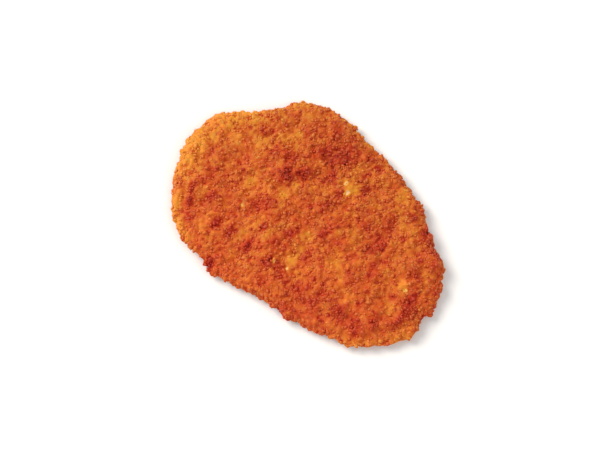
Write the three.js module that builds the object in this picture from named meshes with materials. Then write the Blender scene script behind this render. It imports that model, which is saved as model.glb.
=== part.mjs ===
// A schnitzel: one cutlet of pounded meat in a fried breadcrumb crust, lying on its underside.
// Millimetres, +Z up. X runs along the cutlet to its narrower end, and the origin is on the
// surface it lies on, under the middle of its box.
import * as THREE from 'three';
import { mergeVertices } from 'three/addons/utils/BufferGeometryUtils.js';

// Overall size of the cutlet, crust included.
const LENGTH = 190;
const WIDTH = 131;
const THICKNESS = 13;

// Outline seen from above: distance from the cutlet's middle to its edge every 15 degrees,
// counterclockwise from the narrower end.
const OUTLINE_RADII = [
  96.5, 89.5, 77.5, 72, 66.5, 63, 64, 71, 76.5, 75.5, 77, 88.5,
  91, 89.5, 86, 81, 69.5, 64.5, 59.5, 59.5, 66, 75, 88, 95.5,
];

// Crumb clumps and a notch on the edge: where (degrees), how far out (mm), how wide (degrees).
const EDGE_CLUMPS = [
  { at: 17, out: 2.5, wide: 4 },
  { at: 130, out: 2, wide: 4 },
  { at: -5, out: -2.5, wide: 3 },
  { at: -38, out: 1.5, wide: 3 },
  { at: -67, out: 3, wide: 3 },
  { at: -113, out: 2, wide: 5 },
];

// Cross-section: a low dome on a rounded rim that is widest below half height. Each face has
// its rim's width and the share of its rings that goes round the rim.
const EQUATOR_HEIGHT = 4.2;
const SHOULDER_HEIGHT = 9.4;
const DOME_RISE = 1.2;
const TOP = { rimWidth: 12, rimShare: 0.19 };
const UNDERSIDE = { rimWidth: 6, rimShare: 0.11 };

// The underside is flat within the first of these shares of the way to the edge. Past the second
// it is uneven and stands off by the lift, apart from the thick places that the cutlet rests on:
// middle and reach of each. The strength makes the middle of each place flat.
const FLAT_SHARES = [0.4, 0.52];
const UNDERSIDE_LIFT = 0.4;
const REST_SPOTS = [
  [52, 31, 5], [52, -29, 5], [-54, 31, 5], [-54, -29, 5],
];
const REST_STRENGTH = 1.5;

// Crust relief: how far apart the bumps stand and how high they rise.
const BLISTER = { spacing: 42, height: 0.5, seed: 3 };
const CRAG = { spacing: 28, height: 0.9, seed: 7 };
const EDGE_CRAG = { spacing: 26, height: 0.6, seed: 5 };
const UNDERSIDE_HOLLOW = { spacing: 30, height: 0.9, seed: 11 };
const CRAG_MEAN = 0.8;
const GRAIN = { height: 0.7, seed: 21 };

// How far the points of the facets stray from their even places on the ball, in ball radii.
const STRAY = 0.022;

// Thick crumb clusters that stand up from the crust, and bald spots where it sinks: place of
// the middle and reach, from the cutlet's middle. Both are stretched across the cutlet.
const CLUSTER_RISE = 1.1;
const CLUSTERS = [
  [-29, 17, 6], [-18, 42, 5], [-4, 47, 6], [-40, 26, 5], [12, 2, 5], [37, 28, 8],
  [70, 14, 5], [80, 26, 5], [82, -6, 7], [49, -34, 5], [33, -36, 5], [-4, -34, 5],
  [-34, -35, 5], [-57, -24, 5], [-70, -24, 5], [-4, -11, 4], [-55, 31, 5], [62, 39, 4],
];
const BALD_SINK = 0.9;
const BALD_SPOTS = [
  [8, 32, 6], [70, 4, 6], [9, -9, 7], [6, -27, 7], [-23, 4, 6], [31, -11, 7],
  [-36, 39, 7], [-53, 24, 6], [39, 49, 6], [-22, -45, 5], [-39, -1, 6], [73, -14, 5],
];
const SPOT_STRETCH = 1.4;

// A nearly bare band of batter along the edge beside the narrower end, between two directions
// (degrees). It lies lower, takes this share of the relief away, and fades out between two
// shares of its half-length.
const LEDGE = { from: -42, to: -8, wide: 12, drop: 2, calm: 0.7, fade: [0.6, 1.3] };

// The facets come from a ball of 20 triangles, each split this many more times along its sides.
const BALL_DETAIL = 21;
const WELD_DISTANCE = 1e-3;

// How fast the outline's departures from an ellipse fade towards the middle.
const DEPARTURE_POWER = 3;

// The bumps are sums of this many waves, whose lengths vary about the spacing by this share.
const WAVES = 16;
const WAVE_SPREAD = 0.25;
const GOLDEN_ANGLE = Math.PI * (3 - Math.sqrt(5));
const GOLDEN_FRACTION = (Math.sqrt(5) - 1) / 2;

const { radToDeg, smoothstep, euclideanModulo, seededRandom } = THREE.MathUtils;

function outlineCurve(radii) {
  const step = (2 * Math.PI) / radii.length;
  const points = radii.map((radius, i) => (
    new THREE.Vector3(radius * Math.cos(i * step), radius * Math.sin(i * step), 0)
  ));
  return new THREE.CatmullRomCurve3(points, true, 'catmullrom', 0.5);
}

const outline = outlineCurve(OUTLINE_RADII);

// Sine waves that run every way, their directions spread over the sphere by the golden angle,
// add up to rounded bumps and hollows of about one unit, with no lines or repeats.
function bumps(point, { spacing, seed }) {
  let sum = 0;
  for (let k = 0; k < WAVES; k += 1) {
    const rise = (2 * k + 1) / WAVES - 1;
    const level = Math.sqrt(1 - rise * rise);
    const turn = GOLDEN_ANGLE * (k + seed);
    const along = point.x * level * Math.cos(turn) + point.y * level * Math.sin(turn)
      + point.z * rise;
    const variation = 2 * ((k * GOLDEN_FRACTION) % 1) - 1;
    const length = spacing * (1 + WAVE_SPREAD * variation);
    sum += Math.sin((2 * Math.PI * along) / length + seed * (k + 1));
  }
  return sum * Math.sqrt(2 / WAVES);
}

// Rounded lumps that meet in creases: the folded form of the bumps, about zero on average.
function crags(point, relief) {
  return relief.height * (Math.abs(bumps(point, relief)) - CRAG_MEAN);
}

// Sum of soft oval spots, one at each place of the list.
function spots(point, list) {
  return list.reduce((sum, [x, y, reach]) => {
    const along = (point.x - x) / reach;
    const across = (point.y - y) / (reach * SPOT_STRETCH);
    return sum + Math.exp(-along * along - across * across);
  }, 0);
}

// Turn from one direction to another in degrees, between -180 and 180.
function turnBetween(from, to) {
  return euclideanModulo(to - from + 180, 360) - 180;
}

function edgeClumps(direction) {
  return EDGE_CLUMPS.reduce((sum, { at, out, wide }) => {
    const turn = turnBetween(at, direction) / wide;
    return sum + out * Math.exp(-turn * turn);
  }, 0);
}

// How much of the ledge is at a place: 1 at the edge within its stretch, 0 away from it.
function ledge(direction, inward) {
  const middle = (LEDGE.from + LEDGE.to) / 2;
  const half = (LEDGE.to - LEDGE.from) / 2;
  const along = Math.abs(turnBetween(middle, direction)) / half;
  const lengthwise = 1 - smoothstep(along, ...LEDGE.fade);
  return lengthwise * (1 - smoothstep(inward, LEDGE.wide / 2, LEDGE.wide));
}

// A point of the unit disc goes to its place inside the outline. Near the middle the disc is
// only stretched to an ellipse, and towards the edge it takes on the outline's departures.
function placeInOutline(x, y) {
  const share = Math.hypot(x, y);
  const place = new THREE.Vector3((x * LENGTH) / 2, (y * WIDTH) / 2, 0);
  const turn = Math.atan2(place.y, place.x);
  const edge = outline.getPoint(euclideanModulo(turn / (2 * Math.PI), 1));
  const plainEdge = place.clone().divideScalar(Math.max(share, Number.EPSILON));
  const departure = edge.clone().sub(plainEdge);
  place.addScaledVector(departure, share ** DEPARTURE_POWER);
  return { place, edge, direction: radToDeg(turn) };
}

function topHeight(point, { upright, inner, inward, direction, grain }) {
  const ledgeShare = ledge(direction, inward);
  const shoulder = SHOULDER_HEIGHT - LEDGE.drop * ledgeShare;
  const relief = BLISTER.height * bumps(point, BLISTER)
    + crags(point, CRAG)
    + CLUSTER_RISE * spots(point, CLUSTERS)
    - BALD_SINK * spots(point, BALD_SPOTS)
    + grain;
  const calmed = relief * (1 - LEDGE.calm * ledgeShare);
  return EQUATOR_HEIGHT + (shoulder - EQUATOR_HEIGHT + calmed) * upright
    + DOME_RISE * (1 - inner * inner);
}

function undersideHeight(point, { upright, share, grain }) {
  const hollow = UNDERSIDE_HOLLOW.height * Math.max(0, bumps(point, UNDERSIDE_HOLLOW));
  const away = smoothstep(share, ...FLAT_SHARES)
    * Math.max(0, 1 - REST_STRENGTH * spots(point, REST_SPOTS));
  const clearance = (UNDERSIDE_LIFT + hollow + Math.abs(grain)) * away;
  return EQUATOR_HEIGHT * (1 - upright) + upright * clearance;
}

// Point of the crust for a point of the unit ball. The ball's upper half is spread evenly over
// the top and its lower half over the underside. Each runs out flat and then rolls round a
// quarter ellipse to the edge, where they meet at the ball's equator.
function crustPoint(ball) {
  const isTop = ball.z >= 0;
  const { rimWidth, rimShare } = isTop ? TOP : UNDERSIDE;
  const share = Math.sqrt(1 - Math.abs(ball.z));
  const inner = Math.min(share / (1 - rimShare), 1);
  const roll = (Math.PI / 2) * Math.max(0, (share - 1 + rimShare) / rimShare);
  const upright = Math.cos(roll);
  const sideways = Math.sin(roll);

  const level = Math.max(Math.hypot(ball.x, ball.y), Number.EPSILON);
  const x = ball.x / level;
  const y = ball.y / level;
  const { edge, direction } = placeInOutline(x, y);
  const rim = rimWidth / edge.length();
  const reach = inner * (1 - rim) + rim * sideways;
  const inward = (1 - reach) * edge.length();
  const point = placeInOutline(x * reach, y * reach).place;
  const grain = GRAIN.height * (seededRandom() - 0.5);
  point.z = isTop
    ? topHeight(point, { upright, inner, inward, direction, grain })
    : undersideHeight(point, { upright, share, grain });
  const ragged = crags(point, EDGE_CRAG) + edgeClumps(direction) + grain;
  return point.addScaledVector(edge.normalize(), sideways * ragged);
}

// The ball's even triangles, welded and carried to the crust.
function crust() {
  const ball = new THREE.IcosahedronGeometry(1, BALL_DETAIL);
  ball.deleteAttribute('normal');
  ball.deleteAttribute('uv');
  const solid = mergeVertices(ball, WELD_DISTANCE);
  const places = solid.attributes.position;
  const point = new THREE.Vector3();
  seededRandom(GRAIN.seed);
  for (let i = 0; i < places.count; i += 1) {
    point.fromBufferAttribute(places, i);
    point.x += STRAY * (seededRandom() - 0.5);
    point.y += STRAY * (seededRandom() - 0.5);
    places.setXYZ(i, ...crustPoint(point.normalize()).toArray());
  }
  return solid;
}

// Gives the solid its stated size and stands it on z = 0 over the middle of its box.
function fitToSize(geometry) {
  geometry.computeBoundingBox();
  const box = geometry.boundingBox;
  const size = box.getSize(new THREE.Vector3());
  const middle = box.getCenter(new THREE.Vector3());
  geometry.translate(-middle.x, -middle.y, -box.min.z);
  geometry.scale(LENGTH / size.x, WIDTH / size.y, THICKNESS / size.z);
  return geometry;
}

function schnitzel() {
  const solid = fitToSize(crust());
  solid.computeVertexNormals();
  const friedCrumb = new THREE.MeshStandardMaterial({
    color: 0xc95d2d,
    roughness: 0.62,
    metalness: 0,
  });
  const mesh = new THREE.Mesh(solid, friedCrumb);
  mesh.name = 'schnitzel';
  return mesh;
}

const part = new THREE.Group();
part.add(schnitzel());

export default part;
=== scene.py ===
"""Fried schnitzel: the breadcrumb crust of one pan-fried cutlet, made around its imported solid.

The file is laid out as an add-on. Its operators make the crust, the crumbs and the stage from
the settings on the scene, and main() calls them in order. Lengths in the settings are metres.
Shapes are worked out in millimetres, as arrays, and turned to metres when a mesh is made.
"""

import math

import bpy
import numpy as np
from mathutils import Matrix, Vector


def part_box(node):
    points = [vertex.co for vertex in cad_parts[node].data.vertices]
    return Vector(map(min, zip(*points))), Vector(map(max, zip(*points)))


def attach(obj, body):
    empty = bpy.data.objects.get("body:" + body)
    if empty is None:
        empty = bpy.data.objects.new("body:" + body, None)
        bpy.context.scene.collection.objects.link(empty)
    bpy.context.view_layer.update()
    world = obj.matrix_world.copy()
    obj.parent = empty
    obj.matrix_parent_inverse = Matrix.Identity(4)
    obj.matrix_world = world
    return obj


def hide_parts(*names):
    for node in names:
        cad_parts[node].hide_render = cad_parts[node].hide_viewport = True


bl_info = {
    "name": "Fried schnitzel",
    "version": (1, 0, 0),
    "blender": (4, 5, 0),
    "location": "3D View > Sidebar > Schnitzel",
    "description": "Makes the crust and crumbs of a fried cutlet, and a stage for it",
    "category": "Add Mesh",
}

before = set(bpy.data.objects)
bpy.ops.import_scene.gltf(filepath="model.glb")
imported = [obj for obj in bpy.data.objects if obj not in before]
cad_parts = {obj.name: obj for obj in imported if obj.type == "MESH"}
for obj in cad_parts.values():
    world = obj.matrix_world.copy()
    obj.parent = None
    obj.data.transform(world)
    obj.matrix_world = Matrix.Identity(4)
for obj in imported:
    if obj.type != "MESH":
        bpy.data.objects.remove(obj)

NODE = "schnitzel"
BODY = "root"
BOX_LOW, BOX_HIGH = (np.array(corner) * 1000 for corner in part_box(NODE))
LENGTH, WIDTH, THICKNESS = BOX_HIGH - BOX_LOW

# ---------------------------------------------------------------- the cutlet's plain form, in mm

# Distance from the cutlet's middle to its edge every 15 degrees, from the narrower end round.
OUTLINE_RADII = [
    96.5, 89.5, 77.5, 72, 66.5, 63, 64, 71, 76.5, 75.5, 77, 88.5,
    91, 89.5, 86, 81, 69.5, 64.5, 59.5, 59.5, 66, 75, 88, 95.5,
]
# How fast the outline's departures from an ellipse fade towards the middle.
DEPARTURE_POWER = 3

# Crumb clumps and a notch on the edge: direction (degrees), how far out, how wide (degrees).
EDGE_CLUMPS = [
    (17, 2.5, 4), (130, 2, 4), (-5, -2.5, 3), (-38, 1.5, 3), (-67, 3, 3), (-113, 2, 5),
]

# Cross-section: a low dome on a rounded rim. Each side has its rim's width and the share of
# its rings that goes round the rim.
EQUATOR_HEIGHT = 4.2
SHOULDER_HEIGHT = 9.4
DOME_RISE = 1.2
TOP = {"rim_width": 12, "rim_share": 0.19, "is_top": True}
UNDERSIDE = {"rim_width": 6, "rim_share": 0.11, "is_top": False}

# The underside is flat within the first of these shares of the way to the edge. Past the
# second it stands off by the lift, apart from the thick places that the cutlet rests on: middle
# and reach of each. The strength makes the middle of each place flat.
FLAT_SHARES = (0.4, 0.52)
UNDERSIDE_LIFT = 0.4
REST_SPOTS = [(52, 31, 5), (52, -29, 5), (-54, 31, 5), (-54, -29, 5)]
REST_STRENGTH = 1.5

# Relief: how far apart the bumps stand, how high they rise, and a seed.
BLISTER = (42, 0.5, 3)
CRAG = (28, 0.9, 7)
EDGE_CRAG = (26, 0.6, 5)
UNDERSIDE_HOLLOW = (30, 0.9, 11)
# Mean of the folded bumps, which crags and clumps are measured from.
CRAG_MEAN = 0.8
# The bumps are sums of this many waves, whose lengths vary about the spacing by this share.
WAVES = 16
WAVE_SPREAD = 0.25
GOLDEN_ANGLE = math.pi * (3 - math.sqrt(5))
GOLDEN_FRACTION = (math.sqrt(5) - 1) / 2

# Thick crumb clusters and bald spots that show in the form: place of the middle and reach.
# Spots are stretched across the cutlet.
CLUSTER_RISE = 1.1
CLUSTERS = [
    (-29, 17, 6), (-18, 42, 5), (-4, 47, 6), (-40, 26, 5), (12, 2, 5), (37, 28, 8),
    (70, 14, 5), (80, 26, 5), (82, -6, 7), (49, -34, 5), (33, -36, 5), (-4, -34, 5),
    (-34, -35, 5), (-57, -24, 5), (-70, -24, 5), (-4, -11, 4), (-55, 31, 5), (62, 39, 4),
]
BALD_SINK = 0.9
BALD_SPOTS = [
    (8, 32, 6), (70, 4, 6), (9, -9, 7), (6, -27, 7), (-23, 4, 6), (31, -11, 7),
    (-36, 39, 7), (-53, 24, 6), (39, 49, 6), (-22, -45, 5), (-39, -1, 6), (73, -14, 5),
]
SPOT_STRETCH = 1.4

# A nearly bare band of batter along the edge beside the narrower end: directions (degrees), how
# wide, how much lower it lies, the share of the relief that it takes away, and the shares of
# half its length that it fades out between.
LEDGE = {"from": -42, "to": -8, "wide": 12, "drop": 2, "calm": 0.7, "fade": (0.6, 1.3)}

# Step between the two points that a slope is taken between, in disc radii, points each way of
# the grid that the plain form is measured on, and the least distance that is divided by.
SLOPE_STEP = 0.008
FIT_GRID = 240
TINY = 1e-12

# ------------------------------------------------------------------ how brown the crust is where

# Patches that fried darker, where coarse crumbs lie thick: place of the middle, reach and depth.
DARK_PATCHES = [
    (-27, 16, 4.5, 0.9), (-23, 12, 3, 0.8), (-17.5, 22.5, 3.5, 1.1), (-15, 41, 5, 1.1),
    (-3, 46, 5, 0.9), (-42, 21, 4, 0.8), (-56, 29, 2.5, 0.8), (-33, 49, 3, 0.8),
    (-3, 31, 3.5, 0.8), (19, 37, 3, 1.1), (8, 23, 2.5, 0.8), (5, 14, 3, 0.9), (13, -1, 3, 1),
    (45, 26, 5, 0.9), (33, 18, 4.5, 0.8), (48, 12.5, 2.7, 0.9), (53, 40, 3.2, 1),
    (65, 38, 3, 1.2), (73, 10.5, 3.7, 1.1), (81, 24, 3.5, 0.7), (81, -1, 3.2, 1.1),
    (84, -10, 4.5, 1), (83, -20, 3.5, 0.8), (72, -30, 3, 0.4), (50, -37, 4, 0.8),
    (62, -36, 3, 0.9), (34, -39, 3.5, 0.7), (21, -40, 3.5, 0.9), (6, -36, 3.5, 1.1),
    (-3, -38, 3.2, 0.8), (-19, -38, 3, 1.3), (-33, -37, 3.5, 1.3), (-44, -38, 3, 0.9),
    (-9, -24, 3, 0.4), (-2, -14, 2.7, 1.3), (-23, -5, 3, 0.9), (-31, -13, 3.5, 0.9),
    (-56, -26, 3.5, 1.2), (-69, -26, 2.8, 0.8), (-65, -36, 3.2, 1.1), (-66, -12, 3, 0.8),
    (-32, -60, 3, 0.9), (21, -56, 3, 0.7), (53, -6, 3, 0.8), (14, -22, 3, 1),
    (-64, 1, 3, 0.8), (-73, -4, 3, 0.6), (10, 55, 3, 0.7), (-6, 59, 3.5, 0.8),
    (43, -10, 3, 0.7), (22, -2, 3, 0.9), (43, 6, 3, 0.8), (-18, 56, 4, 0.8), (71, 30, 4, 0.7),
    (27, -45, 3, 0.5), (-29, 27.5, 3, 1.1), (-40, -26, 2.5, 0.6), (64, 32, 3, 0.5),
    (-8, 37.5, 2.5, 0.8), (56, -22, 2.5, 0.6), (-49, -2, 3, 0.8), (-59, -44, 3, 0.9),
    (72, -10, 2.5, 0.6), (79, 4.5, 2.5, 0.8), (-42, -35, 3, 0.9), (-13, -10, 3, 0.6),
    (33, 36, 3, 0.4), (-34, 10, 3, 0.6), (6.5, 25.5, 2.5, 0.9), (13.5, 42, 2.5, 1.1),
    (20, 8.5, 2.5, 0.8), (33, -28, 2.5, 0.7), (-54, 38, 2.5, 0.5), (-67, 27, 3, 0.7),
    (-18, -20, 2.5, 0.8), (78, -34, 2.5, 0.5), (66, -42, 2.5, 0.6),
]
# Patches where the crumbs came off or never stuck, and the yellower batter shows.
PALE_PATCHES = [
    (10, 31, 4, 1.3), (71, 3, 4, 1.2), (6, -8, 4, 0.9), (8, -29, 4, 1.4),
    (16, -28, 3.5, 0.5), (-21, 3, 4.5, 0.9), (32, -14, 5, 0.8), (-39, 39, 6, 0.9),
    (-53, 24, 5, 0.8), (40, 48, 5, 0.9), (-23, -45, 4, 0.7), (-42, -1, 4.5, 1.1),
    (74, -16, 4, 0.8), (7, 45, 3.5, 0.8), (51, 31, 4.5, 0.8), (-66, 17, 4, 1),
    (-18, 13, 3, 0.6), (-25, -31, 3.5, 0.8), (84, 15, 3.5, 0.6), (61, 3, 3, 0.6),
    (13, -54, 3.5, 0.6), (60, 23, 4, 0.6), (-50, -39, 3.5, 1), (-12.5, -23.5, 3, 1.3),
    (-75, 19, 4, 0.4), (18, 45, 3.5, 1), (28, 10, 3.5, 0.6), (6, -21, 3.5, 0.6),
    (49, -28, 4, 0.9), (20.5, 3, 3, 1.2), (41, -44, 3, 0.5), (1, 54, 3, 0.5),
    (-31, -1.5, 3, 0.8), (58, 35, 2.5, 0.9), (52.5, 17.5, 2.5, 0.6), (40, -23, 3, 0.9),
    (-8, 19, 3, 0.5), (51, 8, 2.5, 0.5), (-32, 60, 3, 0.5), (-82, -16, 3, 0.5),
    (-15, 33.5, 2.7, 0.9), (-34, 16.5, 2.5, 1.1), (14, 34, 2.5, 0.7), (-73, -36, 4, 0.7),
    (52, -15, 2.5, 0.7), (-78, -2, 2.5, 0.7), (31, 4, 2.5, 0.5), (55, -32, 2.5, 0.5),
    (-1, 38, 2.5, 0.5), (-62.5, -24, 2.5, 0.7), (-23, -22.5, 2.7, 0.7), (28, -24.5, 2.5, 0.6),
    (22, 51.5, 2.5, 0.6), (-67, -7, 2.5, 0.6),
]
# Specks of bare batter that stayed pale: place of the middle and reach.
CREAM_SPECKS = [
    (10.5, 28, 1.2), (6.5, 32.5, 1), (-37.5, -17.5, 0.8), (0, -34.5, 0.9), (8.5, -33.5, 0.7),
    (75, -0.5, 0.9),
]
# How much sharper than a bell curve the specks end.
SPECK_SHARPNESS = 2.5
# How much browner, and how much paler, a patch of depth 1 is in its middle.
DARK_DEPTH = 0.3
PALE_DEPTH = 0.25
# Browning of bare batter at its palest.
BATTER_BROWN = 0.2
# Unevenness of the pale patches' edges: spacing, amount and seed of its waves. The crumbs thin
# out where a pale patch is deeper than the first number, and are gone at the second.
PATCH_EDGE = (6, 0.28, 71)
BARE = (0.5, 1.3)
# How far crumbs stand apart where the crust is pale or middling brown, as a share of how far
# they do in dark clusters, and the browning from the one to the other.
FUSED_ROUGH = 0.6
CLUSTER_BROWN = (0.48, 0.85)
# Paler stretches of the rim: directions (degrees), how wide in mm, the shares of half their
# length that they fade out between, and how much paler they are.
PALE_RIMS = [
    {"from": 146, "to": 202, "wide": 19, "fade": (0.7, 1.2), "pale": 0.22},
    {"from": 205, "to": 228, "wide": 10, "fade": (0.7, 1.2), "pale": 0.16},
    {"from": -38, "to": -8, "wide": 11, "fade": (0.7, 1.2), "pale": 0.13},
    {"from": 85, "to": 240, "wide": 4.5, "fade": (0.9, 1.1), "pale": 0.1},
    {"from": 315, "to": 355, "wide": 4.5, "fade": (0.9, 1.1), "pale": 0.08},
]
# How far the rims' paler crumb counts as bare batter, against the pale patches.
RIM_BARE = 2.4
# Browning that the patches, rims and waves are laid over.
MEAN_BROWN = 0.52
# Slow and quick variation of the browning between the patches: spacing, amount, seed.
BROWNING_WAVES = [
    (44, 0.02, 31), (17, 0.03, 37), (8.5, 0.03, 41), (4.4, 0.03, 43), (2.8, 0.02, 47),
]
# Painted shade that darkens one side of the cutlet: the direction it deepens in, and browning
# per mm that way.
SHADE_SLOPE_WAY = (0.47, 0.88, 0)
SHADE_SLOPE = 0.0005
# Small flecks of dark crumb: spacing, height of the waves where they start and are full, and
# how much browner they are.
FLECKS = {"spacing": 5.2, "seed": 47, "from": (0.9, 1.8), "amount": 0.2}

# Clumps that crumbs lie in, with creases between: spacing of the unfolded bumps, height, seed.
CLUMPS = [(12, 0.75, 61), (6, 0.7, 67)]
# How rounded the creases' bottoms are, and how much higher the clumps are at the very edge
# and how far in from it that fades.
FOLD_SOFTNESS = 0.15
EDGE_HIGHER = {"by": 0.35, "wide": 5}
# Grain of the skin between the crumbs: spacing, height, seed.
GRAIN = [(4.6, 0.2, 53), (2.6, 0.1, 59)]
# Share of the clumps' and the grain's height, and of the recess, that bare batter keeps.
BARE_HEIGHT = 0.4
BARE_RECESS = 0.25

# ----------------------------------------------------------------------------------- the crumbs

# Kinds of crumb: how many on the top and rim and on the underside, smallest and largest
# across in mm, how far their middles stand out in their own half-sizes, how strongly they
# keep to brown patches (minus for pale ones), and a seed.
CRUMB_KINDS = {
    "crumbs_fine": {
        "count": (1500, 700), "across": (0.9, 1.3), "stand": (-0.3, 0.9),
        "keeps_to": -0.4, "seed": 101,
    },
    "crumbs_medium": {
        "count": (4200, 1700), "across": (1.4, 2.0), "stand": (-0.3, 0.5),
        "keeps_to": 0.2, "seed": 202,
    },
    "crumbs_large": {
        "count": (2200, 700), "across": (1.8, 2.6), "stand": (-0.4, 0.4),
        "keeps_to": 0.8, "seed": 303,
    },
    "crumbs_coarse": {
        "count": (900, 200), "across": (2.1, 3.2), "stand": (-0.4, 0.5),
        "keeps_to": 1.4, "seed": 404,
    },
}
# Places tried for each crumb that is kept, and more besides, so that there is a choice.
TRIED = (1.5, 64)
# Steps of the plane's low-discrepancy sequence, which are one over the plastic number and the
# square of that, and where in the sequence a kind may start.
SEQUENCE = (0.7548776662466927, 0.5698402909980532)
STARTS = (1, 5000)
# How far crumbs stray from their places in the sequence, in mean distances apart, and how much
# a kind's liking for brown or pale patches tells.
STRAY = 0.3
LIKING = 2.2
# Browning that crumbs neither like nor dislike, and past which they are painted paler.
MIDDLING_BROWN = 0.5
# How much oftener small crumbs come than large ones, as a power.
SMALL_OFTEN = 1.6
# Half-axes of a crumb in its own radii, smallest and largest, two along the crust and one out
# of it, and how far its corners lie in and out.
CRUMB_AXES = ((0.9, 0.7, 0.6), (1.5, 1.0, 0.8))
CORNERS_OUT = (0.75, 1.2)
# How far a crumb tips from standing straight on the crust.
TIPPED = 0.4
# How much the crumbs' browning varies.
CRUMB_VARY = 0.03
# Painted shade: how much browner the crust and crumbs are painted for each mm down in the gaps,
# where shade falls, and the height over the clumps in mm that the gaps start at.
PAINTED_GAP_SHADE = 0.06
GAP_HEIGHT = -0.1
# Painted light: how much of the dark patches' browning crumbs lack, so that they stand paler
# than the crust in the gaps between them.
PAINTED_CRUMB_LIGHT = 0.1
# How far under the highest allowed height, and over the table, the relief starts to ease off,
# in mm, so that tips stay inside without being cut to one level.
EASE_TOP = 0.8
EASE_TABLE = 0.3
# How far crumbs are sunk in batter that is nearly bare, in mm.
CRUMB_SINK = 0.45
CRUMB_FACES = 20
CRUMB_CORNERS = 12

# Margins in the UV picture: round each side of the crust, as a share of the picture, and round
# each crumb, as a share of its cell. A cell has columns and rows of boxes for its triangles.
SIDE_MARGIN = 0.005
CELL_MARGIN = 0.05
CELL_BOXES = (5, 2)

# Drift of the colour between golden, where the coating was eggy, and red, where paprika lay: the
# tints that the browned colour is multiplied by, the drift's spacing in mm, how strong it is,
# and how far across the cutlet, in mm, it runs from red to golden as a whole. That run across
# the cutlet is a painted reflection of coloured light, red on one side and golden on the other.
GOLDEN_TINT = (0.96, 1.24, 1.05)
RED_TINT = (1.04, 0.78, 1.0)
DRIFT_MM = 9
DRIFT = 2.5
DRIFT_ACROSS = (-90, 90)
# Browning up to which the tints count least, and from which they count in full, and how much
# they count at both.
TINTED_BROWN = (0.25, 0.8)
TINTED = (0.45, 1)
# Browning at which the crust has each of the colours in the settings.
COLOUR_STOPS = [
    (0.0, "cream"), (BATTER_BROWN / 2, "batter"), (0.3, "golden"), (0.5, "rust"),
    (0.75, "brown"), (1.0, "dark"),
]
# What most values of a noise texture lie between, with much detail and with little.
FINE_NOISE = (0.25, 0.75)
PLAIN_NOISE = (0.3, 0.7)
# Sockets of a Mix node that mixes colours: its factor, its two colours, and its result.
MIX_FACTOR, MIX_FIRST, MIX_SECOND, MIX_RESULT = 0, 6, 7, 2

# How the camera's film answers to light: an S curve that holds back the brightest red and
# sets the darker tones further apart, as points of light in and tone out.
FILM_CURVE = [
    (0.025, 0.019), (0.105, 0.105), (0.25, 0.3), (0.4, 0.435), (0.59, 0.6), (0.8, 0.76),
]
FILM_WHITE = 0.97

# The camera's sensor in mm, and the point the view is centred on, in metres: right of the
# origin, up the view from it, and over the table.
SENSOR_WIDTH = 36
VIEW_CENTRE = (-0.0082, -0.0038, 0.006)
# The softboxes: the way to them, as right, away from the camera and up, and how wide they look.
KEY_LIGHT = {"way": (-1.2, 0.75, 1.1), "angle": 0.6}
FILL_LIGHT = {"way": (1.2, -0.75, 1.1), "angle": 0.7}
# The floor: half its side, and its level, just under the cutlet, in metres.
FLOOR_HALF = 1.5
FLOOR_LEVEL = -0.0001


def srgb(hex_colour):
    """Linear RGB of an sRGB hex value such as "c95d2d"."""
    values = np.array([int(hex_colour[i:i + 2], 16) for i in (0, 2, 4)]) / 255
    linear = np.where(values <= 0.04045, values / 12.92, ((values + 0.055) / 1.055) ** 2.4)
    return tuple(float(value) for value in linear)


def smoothstep(value, low, high):
    """0 up to low, 1 from high on, and an even S curve between them."""
    share = np.clip((value - low) / (high - low), 0, 1)
    return share * share * (3 - 2 * share)


def from_least(least, share):
    """The least where the share is 0, 1 where it is 1, and even between the two."""
    return least + (1 - least) * share


def bumps(points, spacing, seed):
    """Rounded bumps and hollows of about one unit: sine waves of nearly the same length that
    run every way, their directions spread over the sphere by the golden angle, added up."""
    total = np.zeros(len(points))
    for k in range(WAVES):
        rise = (2 * k + 1) / WAVES - 1
        level = math.sqrt(1 - rise * rise)
        turn = GOLDEN_ANGLE * (k + seed)
        way = np.array([level * math.cos(turn), level * math.sin(turn), rise])
        length = spacing * (1 + WAVE_SPREAD * (2 * ((k * GOLDEN_FRACTION) % 1) - 1))
        total += np.sin(2 * math.pi * (points @ way) / length + seed * (k + 1))
    return total * math.sqrt(2 / WAVES)


def crags(points, relief):
    """Rounded lumps that meet in creases: the bumps folded up, about zero on average."""
    spacing, height, seed = relief
    return height * (np.abs(bumps(points, spacing, seed)) - CRAG_MEAN)


def spots(points, places):
    """Sum of soft oval spots: one bell curve for each place, stretched across the cutlet, of
    height 1 or of the place's own depth."""
    total = np.zeros(len(points))
    for x, y, reach, *depth in places:
        along = (points[:, 0] - x) / reach
        across = (points[:, 1] - y) / (reach * SPOT_STRETCH)
        total += np.prod(depth) * np.exp(-along * along - across * across)
    return total


def turn_between(start, ends):
    """Turn from one direction to others in degrees, between -180 and 180."""
    return (ends - start + 180) % 360 - 180


def along_edge(stretch, direction, inward):
    """1 at the edge within a stretch of directions, fading lengthwise and inwards."""
    middle = (stretch["from"] + stretch["to"]) / 2
    half = (stretch["to"] - stretch["from"]) / 2
    along = np.abs(turn_between(middle, direction)) / half
    lengthwise = 1 - smoothstep(along, *stretch["fade"])
    return lengthwise * (1 - smoothstep(inward, stretch["wide"] / 2, stretch["wide"]))


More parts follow.
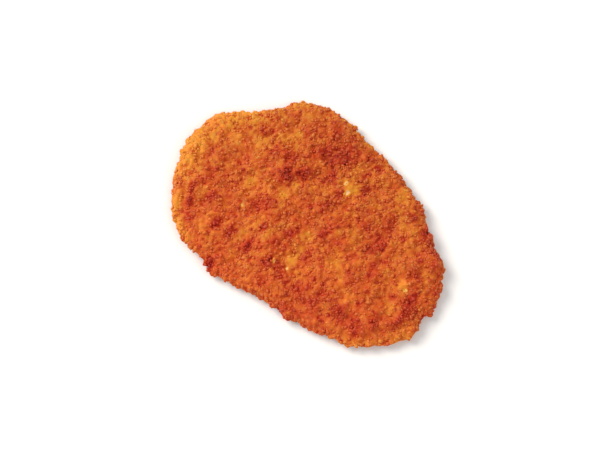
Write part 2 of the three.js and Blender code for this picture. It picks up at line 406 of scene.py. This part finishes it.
def outline_point(turn):
    """Point of the outline for a turn in radians: a closed Catmull-Rom curve through the
    corners, where each stretch is a cubic that leaves a corner parallel to the line between
    its two neighbours."""
    count = len(OUTLINE_RADII)
    angles = np.arange(count) * 2 * math.pi / count
    corners = np.array(OUTLINE_RADII)[:, None] * np.stack([np.cos(angles), np.sin(angles)], 1)
    place = (turn / (2 * math.pi)) % 1 * count
    start = np.floor(place).astype(int)
    step = (place - start)[:, None]
    before, here, after, beyond = (corners[(start + k) % count] for k in (-1, 0, 1, 2))
    slope_here, slope_after = (after - before) / 2, (beyond - here) / 2
    square = 3 * (after - here) - 2 * slope_here - slope_after
    cube = 2 * (here - after) + slope_here + slope_after
    return here + step * (slope_here + step * (square + step * cube))


def place_in_outline(x, y):
    """Places of unit-disc points inside the outline, the outline's points in their directions,
    and the directions in degrees. The disc is stretched to an ellipse, and towards the edge it
    takes on the outline's departures from that by a power of the way there."""
    share = np.hypot(x, y)[:, None]
    place = np.stack([x * LENGTH / 2, y * WIDTH / 2], 1)
    turn = np.arctan2(place[:, 1], place[:, 0])
    edge = outline_point(turn)
    plain_edge = place / np.maximum(share, TINY)
    place = place + (edge - plain_edge) * share ** DEPARTURE_POWER
    return place, edge, np.degrees(turn)


def plain_crust(share, turn, side):
    """Points of the plain crust for points of the unit disc, each given by its share of the way
    to the edge and its turn, with their directions (degrees) and distances in from the edge.
    A side runs out nearly flat to its rim and rolls round a quarter ellipse to the equator."""
    rim_share = side["rim_share"]
    inner = np.minimum(share / (1 - rim_share), 1)
    roll = math.pi / 2 * np.clip((share - 1 + rim_share) / rim_share, 0, 1)
    upright, sideways = np.cos(roll), np.sin(roll)
    x, y = np.cos(turn), np.sin(turn)
    _, edge, direction = place_in_outline(x, y)
    edge_distance = np.hypot(edge[:, 0], edge[:, 1])
    rim = side["rim_width"] / edge_distance
    reach = inner * (1 - rim) + rim * sideways
    inward = (1 - reach) * edge_distance
    place, _, _ = place_in_outline(x * reach, y * reach)
    points = np.column_stack([place, np.zeros(len(place))])
    if side["is_top"]:
        ledge = along_edge(LEDGE, direction, inward)
        relief = (BLISTER[1] * bumps(points, BLISTER[0], BLISTER[2]) + crags(points, CRAG)
                  + CLUSTER_RISE * spots(points, CLUSTERS)
                  - BALD_SINK * spots(points, BALD_SPOTS)) * (1 - LEDGE["calm"] * ledge)
        shoulder = SHOULDER_HEIGHT - LEDGE["drop"] * ledge
        points[:, 2] = (EQUATOR_HEIGHT + (shoulder - EQUATOR_HEIGHT + relief) * upright
                        + DOME_RISE * (1 - inner * inner))
    else:
        spacing, height, seed = UNDERSIDE_HOLLOW
        hollow = height * np.maximum(0, bumps(points, spacing, seed))
        away = smoothstep(share, *FLAT_SHARES) * np.maximum(
            0, 1 - REST_STRENGTH * spots(points, REST_SPOTS))
        points[:, 2] = (EQUATOR_HEIGHT * (1 - upright)
                        + upright * (UNDERSIDE_LIFT + hollow) * away)
    ragged = crags(points, EDGE_CRAG)
    for at, out, wide in EDGE_CLUMPS:
        ragged += out * np.exp(-(turn_between(at, direction) / wide) ** 2)
    points[:, :2] += edge / edge_distance[:, None] * (sideways * ragged)[:, None]
    return points, direction, inward


def plain_normals(share, turn, side):
    """Outward directions of the plain crust: cross products of its slopes outwards and round,
    each taken between two points a small step apart."""
    step = SLOPE_STEP
    outer, inner = np.minimum(share + step, 1), np.maximum(share - step, step)
    level = np.clip(share, 4 * step, 1)
    swing = step / level
    outwards = plain_crust(outer, turn, side)[0] - plain_crust(inner, turn, side)[0]
    around = (plain_crust(level, turn + swing, side)[0]
              - plain_crust(level, turn - swing, side)[0])
    normals = np.cross(outwards, around)
    normals /= np.linalg.norm(normals, axis=1)[:, None]
    return normals if side["is_top"] else -normals


def disc_grid(count):
    """Shares and turns of a square grid carried to the unit disc, where squares round the
    middle become circles and every cell keeps an equal area."""
    line = np.linspace(-1, 1, count)
    a, b = (values.ravel() for values in np.meshgrid(line, line, indexing="ij"))
    return disc_polar(a, b)


def disc_polar(a, b):
    """Share and turn of the disc's point for a point of the square from -1 to 1: its ring is
    the larger of the two, and its turn is its share of the ring's side."""
    wide = np.abs(a) > np.abs(b)
    share = np.where(wide, np.abs(a), np.abs(b))
    safe_a = np.where(a == 0, 1, a)
    safe_b = np.where(b == 0, 1, b)
    turn = np.where(wide, math.pi / 4 * b / safe_a, math.pi / 2 - math.pi / 4 * a / safe_b)
    turn = turn + math.pi * np.where(wide, a < 0, b < 0)
    return share, turn


def fit_to_box():
    """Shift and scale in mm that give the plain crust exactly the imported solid's box."""
    sides = [plain_crust(*disc_grid(FIT_GRID), side)[0] for side in (TOP, UNDERSIDE)]
    points = np.concatenate(sides)
    low, high = points.min(0), points.max(0)
    scale = (BOX_HIGH - BOX_LOW) / (high - low)
    return BOX_LOW - low * scale, scale


def tone(points, direction, inward, side):
    """How brown the crust is, from 0 for cream batter to 1 for the darkest crumbs, and how far
    crumbs stand out of it, from 0 to 1. The browning is a slope across the cutlet, which is
    painted shade, and waves of several spacings, plus the dark patches and flecks, less the pale
    patches and rims, and none at all in the cream specks. Crumbs stand out most where it is
    dark, and not where a pale patch or rim and the waves of its edge are deep."""
    spacing, amount, seed = PATCH_EDGE
    bare = amount * bumps(points, spacing, seed)
    # Painted shade: browner towards one side of the cutlet.
    brown = MEAN_BROWN + SHADE_SLOPE * (points @ SHADE_SLOPE_WAY)
    if side["is_top"]:
        pale = spots(points, PALE_PATCHES)
        bare += pale
        brown += DARK_DEPTH * spots(points, DARK_PATCHES) - PALE_DEPTH * pale
    rims = sum(rim["pale"] * along_edge(rim, direction, inward) for rim in PALE_RIMS)
    covered = 1 - smoothstep(bare + RIM_BARE * rims, *BARE)
    for spacing, amount, seed in BROWNING_WAVES:
        brown += amount * bumps(points, spacing, seed)
    flecks = smoothstep(bumps(points, FLECKS["spacing"], FLECKS["seed"]), *FLECKS["from"])
    brown += FLECKS["amount"] * covered * flecks
    rough = covered * from_least(FUSED_ROUGH, smoothstep(brown, *CLUSTER_BROWN))
    brown = np.maximum(brown - rims, BATTER_BROWN)
    if side["is_top"]:
        brown *= 1 - np.minimum(SPECK_SHARPNESS * spots(points, CREAM_SPECKS), 1)
    return brown, rough


def with_painted_gap_shade(brown, height):
    """Browning of places at a height in mm over the clumps, with painted shade: more the deeper
    in a gap.
    """
    return brown + PAINTED_GAP_SHADE * np.maximum(0, GAP_HEIGHT - height)


def clumps(points, inward, rough):
    """Height of the crumb clumps over the plain crust in mm: rounded lumps that meet in
    creases, higher at the edge, and low where the batter is nearly bare."""
    lumps = sum(height * (np.hypot(bumps(points, spacing, seed), FOLD_SOFTNESS) - CRAG_MEAN)
                for spacing, height, seed in CLUMPS)
    higher = 1 + EDGE_HIGHER["by"] * (1 - smoothstep(inward, 0, EDGE_HIGHER["wide"]))
    return lumps * higher * from_least(BARE_HEIGHT, rough)


# What carries the plain form to its place in the frame.
FIT_SHIFT, FIT_SCALE = fit_to_box()


def eased_under(heights, limit, ease):
    """Heights that never reach the limit: as they are up to the ease under it, and past that
    what is left to the limit falls off exponentially."""
    over = np.maximum(heights - limit + ease, 0) / ease
    return np.where(over > 0, limit - ease * np.exp(-over), heights)


def to_metres(points, settings):
    """Points of the plain form, in mm, at their place in the frame, in metres, eased to stay
    over the table and under the highest allowed height."""
    placed = points * FIT_SCALE + FIT_SHIFT
    under_top = eased_under(placed[:, 2], settings.highest * 1000, EASE_TOP)
    placed[:, 2] = -eased_under(-under_top, 0, EASE_TABLE)
    return placed / 1000


# ---------------------------------------------------------------------------------- mesh making

def make_piece(name, points, faces, brown, corner_uvs, material):
    """Makes a mesh object of triangles at the origin, with its browning, painted light and shade
    included, as an attribute of its points and a UV map that gives each triangle its own stretch
    of the picture."""
    mesh = bpy.data.meshes.new(name)
    mesh.vertices.add(len(points))
    mesh.vertices.foreach_set("co", points.astype(np.float32).ravel())
    mesh.loops.add(faces.size)
    mesh.loops.foreach_set("vertex_index", faces.astype(np.int32).ravel())
    mesh.polygons.add(len(faces))
    mesh.polygons.foreach_set("loop_start", np.arange(0, faces.size, 3, dtype=np.int32))
    mesh.polygons.foreach_set("use_smooth", np.ones(len(faces), bool))
    # The browning attribute also holds painted shade in the gaps and painted light on the
    # crumbs.
    layer = mesh.attributes.new("browning", "FLOAT", "POINT")
    layer.data.foreach_set("value", brown.astype(np.float32))
    layer = mesh.uv_layers.new(name="OFBake")
    layer.uv.foreach_set("vector", corner_uvs.astype(np.float32).ravel())
    mesh.update(calc_edges=True)
    mesh.materials.append(material)
    piece = bpy.data.objects.new(name, mesh)
    bpy.context.scene.collection.objects.link(piece)
    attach(piece, BODY)
    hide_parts(NODE)


def grid_faces(count):
    """Triangles of a square grid of points. Each cell is cut towards the middle of the grid,
    so that no triangle lies along the disc's edge."""
    rows, columns = np.meshgrid(np.arange(count - 1), np.arange(count - 1), indexing="ij")
    rows, columns = rows.ravel(), columns.ravel()
    first = rows * count + columns
    corners = np.stack([first, first + count, first + count + 1, first + 1], 1)
    half = (count - 1) / 2
    same = (rows + 0.5 < half) == (columns + 0.5 < half)
    one = corners[:, [0, 1, 2, 0, 2, 3]]
    other = corners[:, [0, 1, 3, 1, 2, 3]]
    return np.where(same[:, None], one, other).reshape(-1, 3)


def crust_side(count, side, settings):
    """One side of the crust on a square grid: the plain crust moved along its normals by the
    clumps and the grain, less the recess, all of which flatten in bald places. Points in mm, and
    browning with painted shade, browner where the skin lies deep."""
    share, turn = disc_grid(count)
    points, direction, inward = plain_crust(share, turn, side)
    normals = plain_normals(share, turn, side)
    brown, rough = tone(points, direction, inward, side)
    grain = sum(high * bumps(points, spacing, seed) for spacing, high, seed in GRAIN)
    recess = settings.recess * 1000 * from_least(BARE_RECESS, rough)
    height = grain * from_least(BARE_HEIGHT, rough) - recess
    lift = clumps(points, inward, rough) + height
    # Painted shade: the skin is painted browner the deeper it lies between the crumbs.
    return points + normals * lift[:, None], with_painted_gap_shade(brown, height)


def crust_mesh(count, settings):
    """Both sides of the crust, which share the points on the edge. Points in metres, triangles,
    browning with painted shade in the gaps, and UV corners: each side takes half of the picture."""
    top, top_brown_and_shade = crust_side(count, TOP, settings)
    under, under_brown_and_shade = crust_side(count, UNDERSIDE, settings)
    index = np.arange(count * count).reshape(count, count)
    inside = np.zeros((count, count), bool)
    inside[1:-1, 1:-1] = True
    under_index = index.copy()
    under_index[inside] = count * count + np.arange(inside.sum())
    faces = grid_faces(count)
    under_faces = under_index.ravel()[faces][:, ::-1]
    points = to_metres(np.concatenate([top, under[inside.ravel()]]), settings)
    brown = np.concatenate([top_brown_and_shade, under_brown_and_shade[inside.ravel()]])
    place = np.stack(np.divmod(np.arange(count * count), count), 1)[:, ::-1] / (count - 1)
    uv = place * (0.5 - 2 * SIDE_MARGIN, 1 - 2 * SIDE_MARGIN) + SIDE_MARGIN
    uvs = np.concatenate([uv[faces], uv[faces[:, ::-1]] + (0.5, 0)])
    return points, np.concatenate([faces, under_faces]), brown, uvs.reshape(-1, 2)


def icosahedron():
    """Corners and triangles of a regular icosahedron of radius 1."""
    golden = (1 + math.sqrt(5)) / 2
    corners = np.array([
        (-1, golden, 0), (1, golden, 0), (-1, -golden, 0), (1, -golden, 0),
        (0, -1, golden), (0, 1, golden), (0, -1, -golden), (0, 1, -golden),
        (golden, 0, -1), (golden, 0, 1), (-golden, 0, -1), (-golden, 0, 1),
    ])
    faces = np.array([
        (0, 11, 5), (0, 5, 1), (0, 1, 7), (0, 7, 10), (0, 10, 11), (1, 5, 9), (5, 11, 4),
        (11, 10, 2), (10, 7, 6), (7, 1, 8), (3, 9, 4), (3, 4, 2), (3, 2, 6), (3, 6, 8),
        (3, 8, 9), (4, 9, 5), (2, 4, 11), (6, 2, 10), (8, 6, 7), (9, 8, 1),
    ])
    return corners / np.linalg.norm(corners[0]), faces


def scatter(count, side, kind, seed):
    """Places of crumbs on one side: a low-discrepancy sequence over the disc, which keeps them
    apart, with a small stray for each. Of the places tried, the highest ranks are kept, and a
    rank is a random number to the power of one over how well the kind likes the browning
    there. Gives points, distances in from the edge, normals, browning, how far crumbs stand
    out, and the random generator to go on with."""
    draw = np.random.default_rng(seed)
    tried = round(TRIED[0] * count) + TRIED[1]
    steps = np.arange(tried) + draw.integers(*STARTS)
    stray = 2 * STRAY / math.sqrt(tried)
    a, b = (np.clip(2 * (steps * step % 1) - 1 + stray * draw.uniform(-1, 1, tried), -1, 1)
            for step in SEQUENCE)
    share, turn = disc_polar(a, b)
    points, direction, inward = plain_crust(share, turn, side)
    brown, rough = tone(points, direction, inward, side)
    liking = np.exp(LIKING * kind["keeps_to"] * (np.clip(brown, 0, 1) - MIDDLING_BROWN))
    rank = draw.uniform(0, 1, tried) ** (1 / liking)
    kept = np.sort(np.argsort(-rank)[:count])
    normals = plain_normals(share[kept], turn[kept], side)
    return points[kept], inward[kept], normals, brown[kept], rough[kept], draw


def crumb_mesh(kind, settings):
    """All crumbs of a kind: icosahedra with uneven corners, stretched along the crust and
    flattened along its normal, spun, tipped, and set on the clumps, partly sunk in them. Each
    point is as brown as the crust there, a little paler where that is dark, as painted light on
    the raised crumbs, with a variation for each crumb, and browner the deeper it lies, as
    painted shade. Points in metres, triangles, browning, and UV corners."""
    corners, triangles = icosahedron()
    found = [scatter(count, side, kind, kind["seed"] + i)
             for i, (count, side) in enumerate(zip(kind["count"], (TOP, UNDERSIDE)))]
    places, inward, normals, brown, rough = (
        np.concatenate([f[k] for f in found]) for k in range(5))
    draw = found[0][-1]
    total = len(places)
    smallest, largest = (across / 2 * settings.crumb_scale for across in kind["across"])
    radius = smallest + (largest - smallest) * draw.uniform(0, 1, total) ** SMALL_OFTEN
    sizes = draw.uniform(*CRUMB_AXES, (total, 3)) * radius[:, None]
    uneven = draw.uniform(*CORNERS_OUT, (total, CRUMB_CORNERS, 1))
    shape = corners[None] * uneven * sizes[:, None]
    tipped = normals + TIPPED * draw.normal(0, 1, (total, 3))
    tipped /= np.linalg.norm(tipped, axis=1)[:, None]
    sideways = np.cross(tipped, draw.normal(0, 1, (total, 3)))
    sideways /= np.linalg.norm(sideways, axis=1)[:, None]
    frames = np.stack([sideways, np.cross(tipped, sideways), tipped], 1)
    stand = (draw.uniform(*kind["stand"], total) * radius - settings.recess * 1000
             - CRUMB_SINK * (1 - rough))
    middles = places + normals * (stand + clumps(places, inward, rough))[:, None]
    offsets = np.einsum("cvk,ckx->cvx", shape, frames)
    points = to_metres((middles[:, None] + offsets).reshape(-1, 3), settings)
    faces = (np.arange(total)[:, None, None] * CRUMB_CORNERS + triangles[None]).reshape(-1, 3)
    height = stand[:, None] + np.einsum("cvx,cx->cv", offsets, normals)
    # Painted light: crumbs are painted paler than the crust where it is dark.
    own = (brown - PAINTED_CRUMB_LIGHT * np.maximum(brown - MIDDLING_BROWN, 0)
           + CRUMB_VARY * draw.normal(0, 1, total))
    # Painted shade: each point is painted browner the deeper it lies.
    own = with_painted_gap_shade(own[:, None], height)
    own = np.maximum(own, np.minimum(brown, BATTER_BROWN)[:, None])
    return points, faces, own.ravel(), crumb_uvs(total)


def crumb_uvs(total):
    """UV corners of crumbs: each crumb has a square cell of the picture, and its triangles are
    the halves of a table of boxes in that cell."""
    across = math.ceil(math.sqrt(total))
    row, column = np.divmod(np.arange(total), across)
    box_row, box_column = np.divmod(np.arange(CRUMB_FACES // 2), CELL_BOXES[0])
    low = np.array([(0, 0), (1, 0), (0, 1)]), np.array([(1, 0), (1, 1), (0, 1)])
    halves = np.stack(low)[None] + np.stack([box_column, box_row], 1)[:, None, None]
    cell = CELL_MARGIN + (1 - 2 * CELL_MARGIN) * halves.reshape(-1, 2) / CELL_BOXES
    place = np.stack([column, row], 1)[:, None] + cell[None]
    return (place / across).reshape(-1, 2)


# ------------------------------------------------------------------------------------ materials

def per_mm(size):
    """Texture scale, per metre, of a pattern that repeats about every so many millimetres."""
    return 1000 / size


def add_node(tree, kind, settings=None, links=None):
    """Adds a node. Settings are its properties, its sockets' values, or a ramp's stops, and
    links are its inputs with the outputs that feed them."""
    node = tree.nodes.new(kind)
    for key, value in (settings or {}).items():
        if key == "stops":
            elements = node.color_ramp.elements
            while len(elements) < len(value):
                elements.new(0.5)
            for element, (place, colour) in zip(elements, value):
                element.position = place
                element.color = (*colour, 1)
        elif isinstance(key, str) and hasattr(node, key):
            setattr(node, key, value)
        else:
            node.inputs[key].default_value = value
    for key, output in (links or {}).items():
        tree.links.new(output, node.inputs[key])
    return node


def fried_material(name, stops, grain, relief, roughness, gloss):
    """Breadcrumb or batter browned in hot fat. The browning on the piece, which holds painted
    light and shade as well, broken up by noise of the grain's size, picks the colour from cream
    through golden and rust to dark brown. That is tinted red or golden by slower noise, and by
    the place across the cutlet as a painted reflection of coloured light, and more so the
    browner it is. The surface is rough from crumb to crumb, with a thin film of fat that catches
    the light."""
    material = bpy.data.materials.new(name)
    material.use_nodes = True
    tree = material.node_tree
    tree.nodes.clear()
    place = add_node(tree, "ShaderNodeTexCoord").outputs["Object"]
    # The browning attribute also holds painted shade in the gaps and painted light on the
    # crumbs.
    brown = add_node(tree, "ShaderNodeAttribute", {"attribute_name": "browning"})
    mottle = add_node(
        tree, "ShaderNodeTexNoise",
        {"Scale": per_mm(grain["mottle_mm"]), "Detail": 3.0, "Roughness": 0.6},
        {"Vector": place})
    spread = add_node(
        tree, "ShaderNodeMapRange",
        {"From Min": FINE_NOISE[0], "From Max": FINE_NOISE[1],
         "To Min": -grain["mottle"], "To Max": grain["mottle"]},
        {"Value": mottle.outputs["Fac"]})
    browned = add_node(
        tree, "ShaderNodeMath", {"operation": "ADD"},
        {0: brown.outputs["Fac"], 1: spread.outputs["Result"]})
    colour = add_node(
        tree, "ShaderNodeValToRGB", {"stops": stops}, {"Fac": browned.outputs["Value"]})
    drift = add_node(
        tree, "ShaderNodeTexNoise", {"Scale": per_mm(DRIFT_MM), "Detail": 2.0},
        {"Vector": place})
    # Painted reflection: red towards one side of the cutlet and golden towards the other.
    axes = add_node(tree, "ShaderNodeSeparateXYZ", None, {"Vector": place})
    across = add_node(
        tree, "ShaderNodeMapRange",
        {"From Min": DRIFT_ACROSS[0] / 1000, "From Max": DRIFT_ACROSS[1] / 1000,
         "To Min": -DRIFT / 2, "To Max": 1 - DRIFT / 2},
        {"Value": axes.outputs["Y"]})
    golden = add_node(
        tree, "ShaderNodeMath", {"operation": "MULTIPLY_ADD", 1: DRIFT},
        {0: drift.outputs["Fac"], 2: across.outputs["Result"]})
    tint = add_node(
        tree, "ShaderNodeMix",
        {"data_type": "RGBA", MIX_FIRST: (*RED_TINT, 1), MIX_SECOND: (*GOLDEN_TINT, 1)},
        {MIX_FACTOR: golden.outputs["Value"]})
    depth = add_node(
        tree, "ShaderNodeMapRange",
        {"From Min": TINTED_BROWN[0], "From Max": TINTED_BROWN[1],
         "To Min": TINTED[0], "To Max": TINTED[1]},
        {"Value": browned.outputs["Value"]})
    tinted = add_node(
        tree, "ShaderNodeMix", {"data_type": "RGBA", "blend_type": "MULTIPLY"},
        {MIX_FACTOR: depth.outputs["Result"], MIX_FIRST: colour.outputs["Color"],
         MIX_SECOND: tint.outputs[MIX_RESULT]})
    fat = add_node(
        tree, "ShaderNodeTexNoise",
        {"Scale": per_mm(grain["fat_mm"]), "Detail": 2.0}, {"Vector": place})
    rough = add_node(
        tree, "ShaderNodeMapRange",
        {"From Min": PLAIN_NOISE[0], "From Max": PLAIN_NOISE[1],
         "To Min": roughness[0], "To Max": roughness[1]},
        {"Value": fat.outputs["Fac"]})
    pits = add_node(
        tree, "ShaderNodeTexNoise",
        {"Scale": per_mm(relief["pit_mm"]), "Detail": 2.0}, {"Vector": place})
    bump = add_node(
        tree, "ShaderNodeBump",
        {"Strength": relief["strength"], "Distance": relief["deep_mm"] / 1000},
        {"Height": pits.outputs["Fac"]})
    # The film of fat bends light as cooking oil does, and the crumb lets a little light in, red
    # the furthest.
    shader = add_node(
        tree, "ShaderNodeBsdfPrincipled",
        {"IOR": 1.47, "Specular IOR Level": gloss, "Subsurface Weight": 0.3,
         "Subsurface Radius": (1.0, 0.3, 0.1), "Subsurface Scale": 0.0012},
        {"Base Color": tinted.outputs[MIX_RESULT], "Roughness": rough.outputs["Result"],
         "Normal": bump.outputs["Normal"]})
    add_node(tree, "ShaderNodeOutputMaterial", None, {"Surface": shader.outputs["BSDF"]})
    return material


def palette(colours):
    """Ramp stops from cream batter to the darkest crumb, out of the colour settings."""
    return [(place, getattr(colours, name)) for place, name in COLOUR_STOPS]


# ------------------------------------------------------------------------------------- settings

def colour_setting(name, description, hex_colour):
    """A colour that the user can change, with an sRGB hex value as its default."""
    return bpy.props.FloatVectorProperty(
        name=name, description=description, subtype="COLOR", size=3, min=0, max=1,
        default=srgb(hex_colour))


class SchnitzelColours(bpy.types.PropertyGroup):
    """Colours of the crust, from bare batter to the darkest crumb."""
    cream: colour_setting("Cream", "Specks of batter that stayed pale", "f0b880")
    batter: colour_setting("Batter", "Batter where the crumbs came off", "e98b33")
    golden: colour_setting("Golden", "Lightly fried crumb", "d67029")
    rust: colour_setting("Rust", "Crumb fried orange brown", "ca5d24")
    brown: colour_setting("Brown", "Crumb fried dark", "ae3b16")
    dark: colour_setting("Dark", "Crumb at the edge of burning", "86200d")


class SchnitzelForm(bpy.types.PropertyGroup):
    """Sizes of the crust and its crumbs."""
    recess: bpy.props.FloatProperty(
        name="Recess", description="How far the crust lies under the tips of its crumbs",
        default=0.0007, min=0, max=0.002, subtype="DISTANCE", unit="LENGTH", precision=5)
    highest: bpy.props.FloatProperty(
        name="Highest", description="Height that nothing rises above",
        default=(THICKNESS + 0.3) / 1000, min=0, subtype="DISTANCE", unit="LENGTH",
        precision=5)
    crumb_scale: bpy.props.FloatProperty(
        name="Crumb scale", description="Size of the crumbs against their usual size",
        default=1.0, min=0.2, max=3, subtype="FACTOR")
    grid: bpy.props.IntProperty(
        name="Grid", description="Points along each way of the crust's grid",
        default=216, min=8, max=224)


class SchnitzelStage(bpy.types.PropertyGroup):
    """Camera and lights."""
    azimuth: bpy.props.FloatProperty(
        name="Azimuth", description="Turn of the camera round the cutlet",
        default=math.radians(36.5), subtype="ANGLE", unit="ROTATION")
    elevation: bpy.props.FloatProperty(
        name="Elevation", description="Height of the camera above the table, as an angle",
        default=math.radians(78), subtype="ANGLE", unit="ROTATION")
    lens: bpy.props.FloatProperty(
        name="Lens", description="Focal length in millimetres", default=85, min=10)
    view_width: bpy.props.FloatProperty(
        name="View width", description="Width of the view at the cutlet",
        default=0.3766, min=0.05, subtype="DISTANCE", unit="LENGTH")
    key: bpy.props.FloatProperty(
        name="Key", description="Strength of the main light in watts per square metre",
        default=3.0, min=0)
    fill: bpy.props.FloatProperty(
        name="Fill", description="Strength of the fill light in watts per square metre",
        default=0.4, min=0)
    sky: bpy.props.FloatProperty(
        name="Sky", description="Strength of the even light from all round", default=0.62,
        min=0)


# ------------------------------------------------------------------------------------ operators

class SCHNITZEL_OT_crust(bpy.types.Operator):
    """Make the crust: batter and crumb fused to one closed skin"""
    bl_idname = "schnitzel.crust"
    bl_label = "Crust"

    def execute(self, context):
        settings = context.scene.schnitzel_form
        # Batter and fine crumb, fried in a pan: a dull golden to rust skin, pitted about every
        # millimetre, that shows between the crumbs.
        material = fried_material(
            "fried_batter_crust", palette(context.scene.schnitzel_colours),
            grain={"mottle_mm": 1.3, "mottle": 0.07, "fat_mm": 1.6},
            relief={"pit_mm": 1.3, "strength": 0.8, "deep_mm": 0.2},
            roughness=(0.56, 0.76), gloss=0.2)
        make_piece("crust", *crust_mesh(settings.grid, settings), material)
        return {"FINISHED"}


class SCHNITZEL_OT_crumbs(bpy.types.Operator):
    """Scatter the crumbs that stand out of the crust, one piece for each kind"""
    bl_idname = "schnitzel.crumbs"
    bl_label = "Crumbs"

    def execute(self, context):
        settings = context.scene.schnitzel_form
        colours = context.scene.schnitzel_colours
        for name, kind in CRUMB_KINDS.items():
            # Dry breadcrumb browned in fat: a rounded grain with a soft shine where fat clings.
            material = fried_material(
                name.replace("crumbs", "fried_breadcrumb"), palette(colours),
                grain={"mottle_mm": 0.8, "mottle": 0.04, "fat_mm": 1.1},
                relief={"pit_mm": 0.4, "strength": 0.3, "deep_mm": 0.12},
                roughness=(0.5, 0.68), gloss=0.5)
            make_piece(name, *crumb_mesh(kind, settings), material)
        return {"FINISHED"}


class SCHNITZEL_OT_stage(bpy.types.Operator):
    """Set up the floor, the lights and the camera"""
    bl_idname = "schnitzel.stage"
    bl_label = "Stage"

    def execute(self, context):
        scene = context.scene
        stage = scene.schnitzel_stage
        set_film(scene.view_settings)
        right, up, back = view_axes(stage.azimuth, stage.elevation)
        make_camera(scene, stage, right, up, back)
        make_floor()
        make_sky(scene, stage.sky)
        away = Vector((up.x, up.y, 0)).normalized()
        make_light("key_light", KEY_LIGHT, stage.key, right, away)
        make_light("fill_light", FILL_LIGHT, stage.fill, right, away)
        return {"FINISHED"}


def set_film(view):
    """Plain colours with the film's curve laid over all three of them, as the fourth of the
    view's curves is."""
    view.view_transform = "Standard"
    view.use_curve_mapping = True
    curve = view.curve_mapping.curves[3]
    curve.points[1].location = (1, FILM_WHITE)
    for point in FILM_CURVE:
        curve.points.new(*point)
    view.curve_mapping.update()


def view_axes(azimuth, elevation):
    """Right, up and backward axes of a camera that looks along +Y at azimuth 0 and is raised
    by the elevation: back is level and rise by its cosine and sine, right is level, and up is
    square to both."""
    flat = math.cos(elevation)
    back = Vector((math.sin(azimuth) * flat, -math.cos(azimuth) * flat, math.sin(elevation)))
    right = Vector((math.cos(azimuth), math.sin(azimuth), 0))
    return right, back.cross(right), back


def make_camera(scene, stage, right, up, back):
    """Camera that shows the cutlet a little right of and above the middle of its view."""
    data = bpy.data.cameras.new("camera")
    data.lens = stage.lens
    data.sensor_width = SENSOR_WIDTH
    camera = bpy.data.objects.new("camera", data)
    scene.collection.objects.link(camera)
    across, upwards, over = VIEW_CENTRE
    target = Vector((0, 0, over)) + right * across + up * upwards
    distance = stage.view_width * stage.lens / data.sensor_width
    axes = Matrix((right, up, back)).transposed().to_4x4()
    camera.matrix_world = Matrix.Translation(target + back * distance) @ axes
    scene.camera = camera


def make_floor():
    """Plain pale table top just under the cutlet."""
    mesh = bpy.data.meshes.new("floor")
    ways = ((-1, -1), (1, -1), (1, 1), (-1, 1))
    corners = [(x * FLOOR_HALF, y * FLOOR_HALF, FLOOR_LEVEL) for x, y in ways]
    mesh.from_pydata(corners, [], [(0, 1, 2, 3)])
    material = bpy.data.materials.new("matte_white_laminate")
    material.use_nodes = True
    shader = material.node_tree.nodes["Principled BSDF"]
    shader.inputs["Base Color"].default_value = (*srgb("f4f2ee"), 1)
    shader.inputs["Roughness"].default_value = 0.8
    mesh.materials.append(material)
    floor = bpy.data.objects.new("floor", mesh)
    bpy.context.scene.collection.objects.link(floor)


def make_sky(scene, strength):
    """Even white light from all round."""
    world = bpy.data.worlds.new("sky")
    world.use_nodes = True
    background = world.node_tree.nodes["Background"]
    background.inputs["Color"].default_value = (1, 1, 1, 1)
    background.inputs["Strength"].default_value = strength
    scene.world = world


def make_light(name, softbox, strength, right, away):
    """Large softbox far off, as a sun that looks so many radians wide."""
    across, along, rise = softbox["way"]
    way = (away * along + right * across + Vector((0, 0, rise))).normalized()
    data = bpy.data.lights.new(name, "SUN")
    data.energy = strength
    data.angle = softbox["angle"]
    light = bpy.data.objects.new(name, data)
    light.location = way
    light.rotation_euler = way.to_track_quat("Z", "Y").to_euler()
    bpy.context.scene.collection.objects.link(light)


class SCHNITZEL_PT_panel(bpy.types.Panel):
    """Settings and operators of the fried schnitzel"""
    bl_idname = "SCHNITZEL_PT_panel"
    bl_label = "Fried schnitzel"
    bl_space_type = "VIEW_3D"
    bl_region_type = "UI"
    bl_category = "Schnitzel"

    def draw(self, context):
        layout = self.layout
        for group in (context.scene.schnitzel_form, context.scene.schnitzel_colours,
                      context.scene.schnitzel_stage):
            box = layout.box()
            for name in group.bl_rna.properties.keys():
                if name not in ("rna_type", "name"):
                    box.prop(group, name)
        for operator in OPERATORS:
            layout.operator(operator.bl_idname)


OPERATORS = (SCHNITZEL_OT_crust, SCHNITZEL_OT_crumbs, SCHNITZEL_OT_stage)
GROUPS = (SchnitzelColours, SchnitzelForm, SchnitzelStage)


def register():
    for kind in (*GROUPS, *OPERATORS, SCHNITZEL_PT_panel):
        bpy.utils.register_class(kind)
    scene = bpy.types.Scene
    scene.schnitzel_colours = bpy.props.PointerProperty(type=SchnitzelColours)
    scene.schnitzel_form = bpy.props.PointerProperty(type=SchnitzelForm)
    scene.schnitzel_stage = bpy.props.PointerProperty(type=SchnitzelStage)


def unregister():
    scene = bpy.types.Scene
    del scene.schnitzel_stage, scene.schnitzel_form, scene.schnitzel_colours
    for kind in (SCHNITZEL_PT_panel, *OPERATORS[::-1], *GROUPS[::-1]):
        bpy.utils.unregister_class(kind)


def main():
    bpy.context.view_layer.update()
    register()
    bpy.ops.schnitzel.stage()
    bpy.ops.schnitzel.crust()
    bpy.ops.schnitzel.crumbs()
    bpy.context.view_layer.update()


if __name__ == "__main__":
    main()
